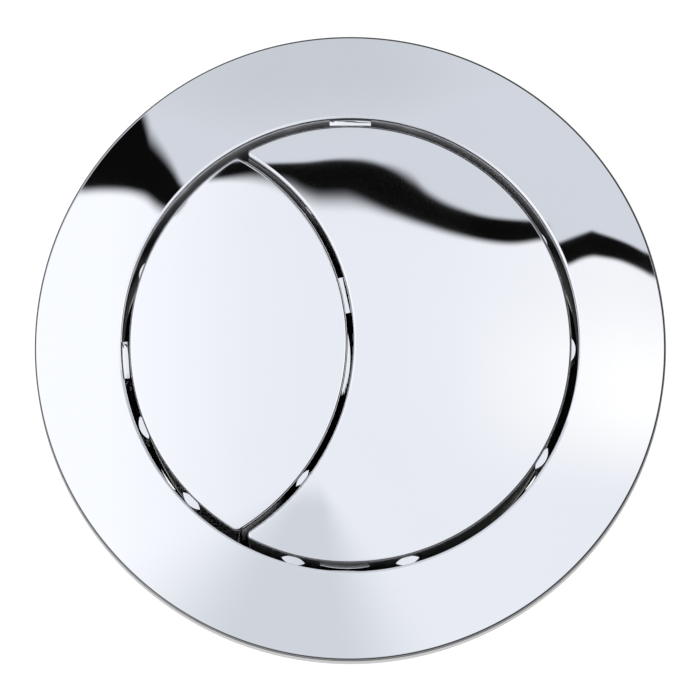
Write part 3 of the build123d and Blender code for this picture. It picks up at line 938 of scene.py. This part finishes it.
def dark_strip(tree, across, along, slope):
    """Mask of the dark strip across the studio, and the height over its lower edge, all in degrees."""
    top = tree.curve(across, (
        (-34, 60), (-22.5, 32.5), (-19.8, 29), (-17.9, 25.8), (-17.4, 24.2), (-14.6, 27.25), (-12.5, 28.45),
        (-10.4, 28.45), (-9.6, 27.95), (-5.5, 27.85), (-1, 28.1), (3.4, 27.6), (6.5, 26.3), (8.6, 24.6),
        (11.9, 23.2), (16.1, 22.6), (21.2, 22.85), (22, 20.7), (25.7, 22.65), (29.9, 21.8), (34, 19.9),
    ), 0.0, 60.0, (-34, -22.5, -17.9, -17.4, -10.4, -9.6, 21.2, 22, 25.7, 34))
    bottom = tree.curve(across, (
        (-34, 28.1), (-26.2, 27.2), (-22.6, 26), (-20.1, 24), (-18.5, 23.5), (-16, 26.65), (-10.9, 26.5),
        (-7, 25.4), (-4.3, 24), (-3.2, 23.7), (0, 23.6), (4.4, 22.25), (7.5, 21.3), (11.7, 20.3),
        (15.9, 19.9), (21.2, 21), (22.2, 18), (25.7, 19.78), (27.2, 19.82), (29.7, 19.45), (34, 17.5),
    ), 0.0, 60.0, (-34, -18.5, -16, 21.2, 22.2, 34))
    blur_below = tree.curve(across, (
        (-34, 0.7), (-23.4, 0.75), (-21, 1.1), (-17, 0.5), (-14, 0.45), (-7, 1.4), (-0.5, 1.55), (2.2, 1.0),
        (5.4, 0.68), (13, 0.48), (27, 0.35), (34, 0.4),
    ), 0.0, 2.0)
    blur_above = tree.curve(across, (
        (-34, 1.6), (-22.5, 1.5), (-18, 0.8), (-16, 0.2), (-3.3, 0.2), (3.4, 0.46), (6.5, 1.0), (8.6, 0.63),
        (12, 0.4), (18, 0.3), (34, 0.26),
    ), 0.0, 2.0)
    over = tree.math("SUBTRACT", along, bottom)
    under = tree.math("SUBTRACT", top, along)
    lower_edge = tree.ramp(over, tree.math("MULTIPLY", blur_below, -1.0), blur_below)
    upper_edge = tree.ramp(under, tree.math("MULTIPLY", blur_above, -1.0), blur_above)
    strip = tree.math("MULTIPLY", lower_edge, upper_edge)
    return tree.math("MULTIPLY", strip, tree.ramp(slope, 40.0, 44.0, 1.0, 0.0)), over


def lower_card(tree, across, along):
    """Colour of the pale card under the strip, which glows at both sides and has a grey fan at its foot."""
    left_glow = tree.curve(across, (
        (-45, 1.0), (-26, 0.95), (-20.6, 0.66), (-15.4, 0.38), (-10.3, 0.1), (-5, 0.0), (45, 0.0),
    ), 0.0, 1.0)
    right_glow = tree.curve(across, (
        (-45, 0.0), (5, 0.0), (10.4, 0.09), (17.6, 0.48), (28, 1.0), (45, 1.0),
    ), 0.0, 1.0)
    right_glow = tree.math("MULTIPLY", right_glow, tree.ramp(along, -8.0, 4.0))
    right_glow = tree.math("MULTIPLY", right_glow, tree.ramp(along, 6.0, 18.0, 1.0, 0.45))
    card = tree.blend(right_glow, (0.85, 0.876, 0.938, 1.0), grey(1.07))
    card = tree.blend(left_glow, card, (1.01, 1.03, 1.08, 1.0))

    fan_across = -3.5
    fan_along = -4.5
    below = tree.math("SUBTRACT", fan_along, along)
    aside = tree.math("SUBTRACT", across, fan_across)
    lean = tree.math("DEGREES", tree.math("ARCTAN2", aside, below))
    fan = tree.math("MULTIPLY", tree.ramp(lean, -70.0, -24.0), tree.ramp(lean, 4.0, 40.0, 1.0, 0.0))
    fan = tree.math("MULTIPLY", fan, tree.ramp(below, 0.0, 4.0))
    return tree.blend(fan, card, (0.655, 0.69, 0.745, 1.0))


def upper_card(tree, across, along):
    """Colour of the grey card over the strip, lighter near the strip and at both sides."""
    spread = tree.math("ABSOLUTE", tree.math("ADD", across, 5.0))
    lighter = tree.math("ADD", tree.ramp(along, 38.0, 29.0), tree.ramp(spread, 4.0, 26.0))
    lighter = tree.math("MINIMUM", lighter, 1.0)
    return tree.blend(lighter, (0.598, 0.634, 0.677, 1.0), (0.67, 0.70, 0.765, 1.0))


def dark_room(tree, way, slope):
    """Mask and colour of the room round the cards, which starts higher on the right and is grey below."""
    square = tree.math("ADD", tree.math("POWER", way["X"], 2.0), tree.math("POWER", way["Y"], 2.0))
    rightward = tree.math("DIVIDE", way["X"], tree.math("MAXIMUM", tree.math("SQRT", square), 0.001))
    start = tree.ramp(rightward, -1.0, 1.0, 66.0, 42.0)
    room = tree.ramp(slope, start, tree.math("ADD", start, 12.0))
    colour = tree.blend(tree.ramp(slope, 90.0, 96.0), (0.02, 0.02, 0.022, 1.0), (0.17, 0.17, 0.18, 1.0))
    return room, tree.blend(tree.ramp(slope, 135.0, 150.0), colour, grey(0.8))


def make_world():
    """Studio that the chrome mirrors, with plain light for everything else and white behind the object."""
    world = bpy.data.worlds.new("studio")
    bpy.context.scene.world = world
    world.use_nodes = True
    world.node_tree.nodes.clear()
    tree = Tree(world.node_tree)
    direction = tree.add("ShaderNodeTexCoord").outputs["Generated"]
    way = tree.add("ShaderNodeSeparateXYZ", {0: direction}).outputs
    across = tree.math("DEGREES", tree.math("ARCTAN2", way["X"], way["Z"]))
    along = tree.math("DEGREES", tree.math("ARCTAN2", way["Y"], way["Z"]))
    slope = tree.math("DEGREES", tree.math("ARCCOSINE", way["Z"]))

    strip, over = dark_strip(tree, across, along, slope)
    lower = lower_card(tree, across, along)
    upper = upper_card(tree, across, along)
    cards = tree.blend(tree.ramp(over, 0.0, 1.0), lower, upper)
    cards = tree.blend(strip, cards, grey(0.003))
    room, room_colour = dark_room(tree, way, slope)
    studio = tree.blend(room, cards, room_colour)

    path = tree.add("ShaderNodeLightPath").outputs
    mirrored = tree.math("MAXIMUM", path["Is Glossy Ray"], path["Is Transmission Ray"])
    light = tree.blend(mirrored, grey(0.8), studio)
    light = tree.blend(path["Is Camera Ray"], light, grey(1.0))
    background = tree.add("ShaderNodeBackground", {"Color": light})
    tree.put(tree.add("ShaderNodeOutputWorld").inputs["Surface"], background.outputs[0])


def make_lamp():
    """Broad soft light from above, not mirrored in the chrome."""
    data = bpy.data.lights.new("overhead_light", "SUN")
    data.energy = 0.65
    data.angle = radians(35.0)
    lamp = add_object("overhead_light", data)
    lamp.rotation_euler = (radians(8.0), radians(-6.0), 0.0)
    lamp.visible_glossy = False


def make_camera():
    """Camera 9 degrees off the button's axis, far away, with the bezel in the photograph's place."""
    tilt = radians(9.0)
    distance = 1.6
    picture_width = 700
    pixel = mm / 8.652
    left_of_centre = 0.35 * pixel
    below_centre = 2.85 * pixel
    data = bpy.data.cameras.new("photo_camera")
    data.sensor_width = 36.0
    data.lens = data.sensor_width * distance / (picture_width * pixel)
    camera = add_object("photo_camera", data)
    up = Vector((0.0, cos(tilt), sin(tilt)))
    back = Vector((0.0, -sin(tilt), cos(tilt)))
    target = Vector((-left_of_centre, 0.0, rim_height)) - up * below_centre
    camera.location = target + back * distance
    camera.rotation_euler = (tilt, 0.0, 0.0)
    bpy.context.scene.camera = camera


make_floor()
make_world()
make_lamp()
make_camera()
bpy.context.scene.view_settings.view_transform = "Standard"
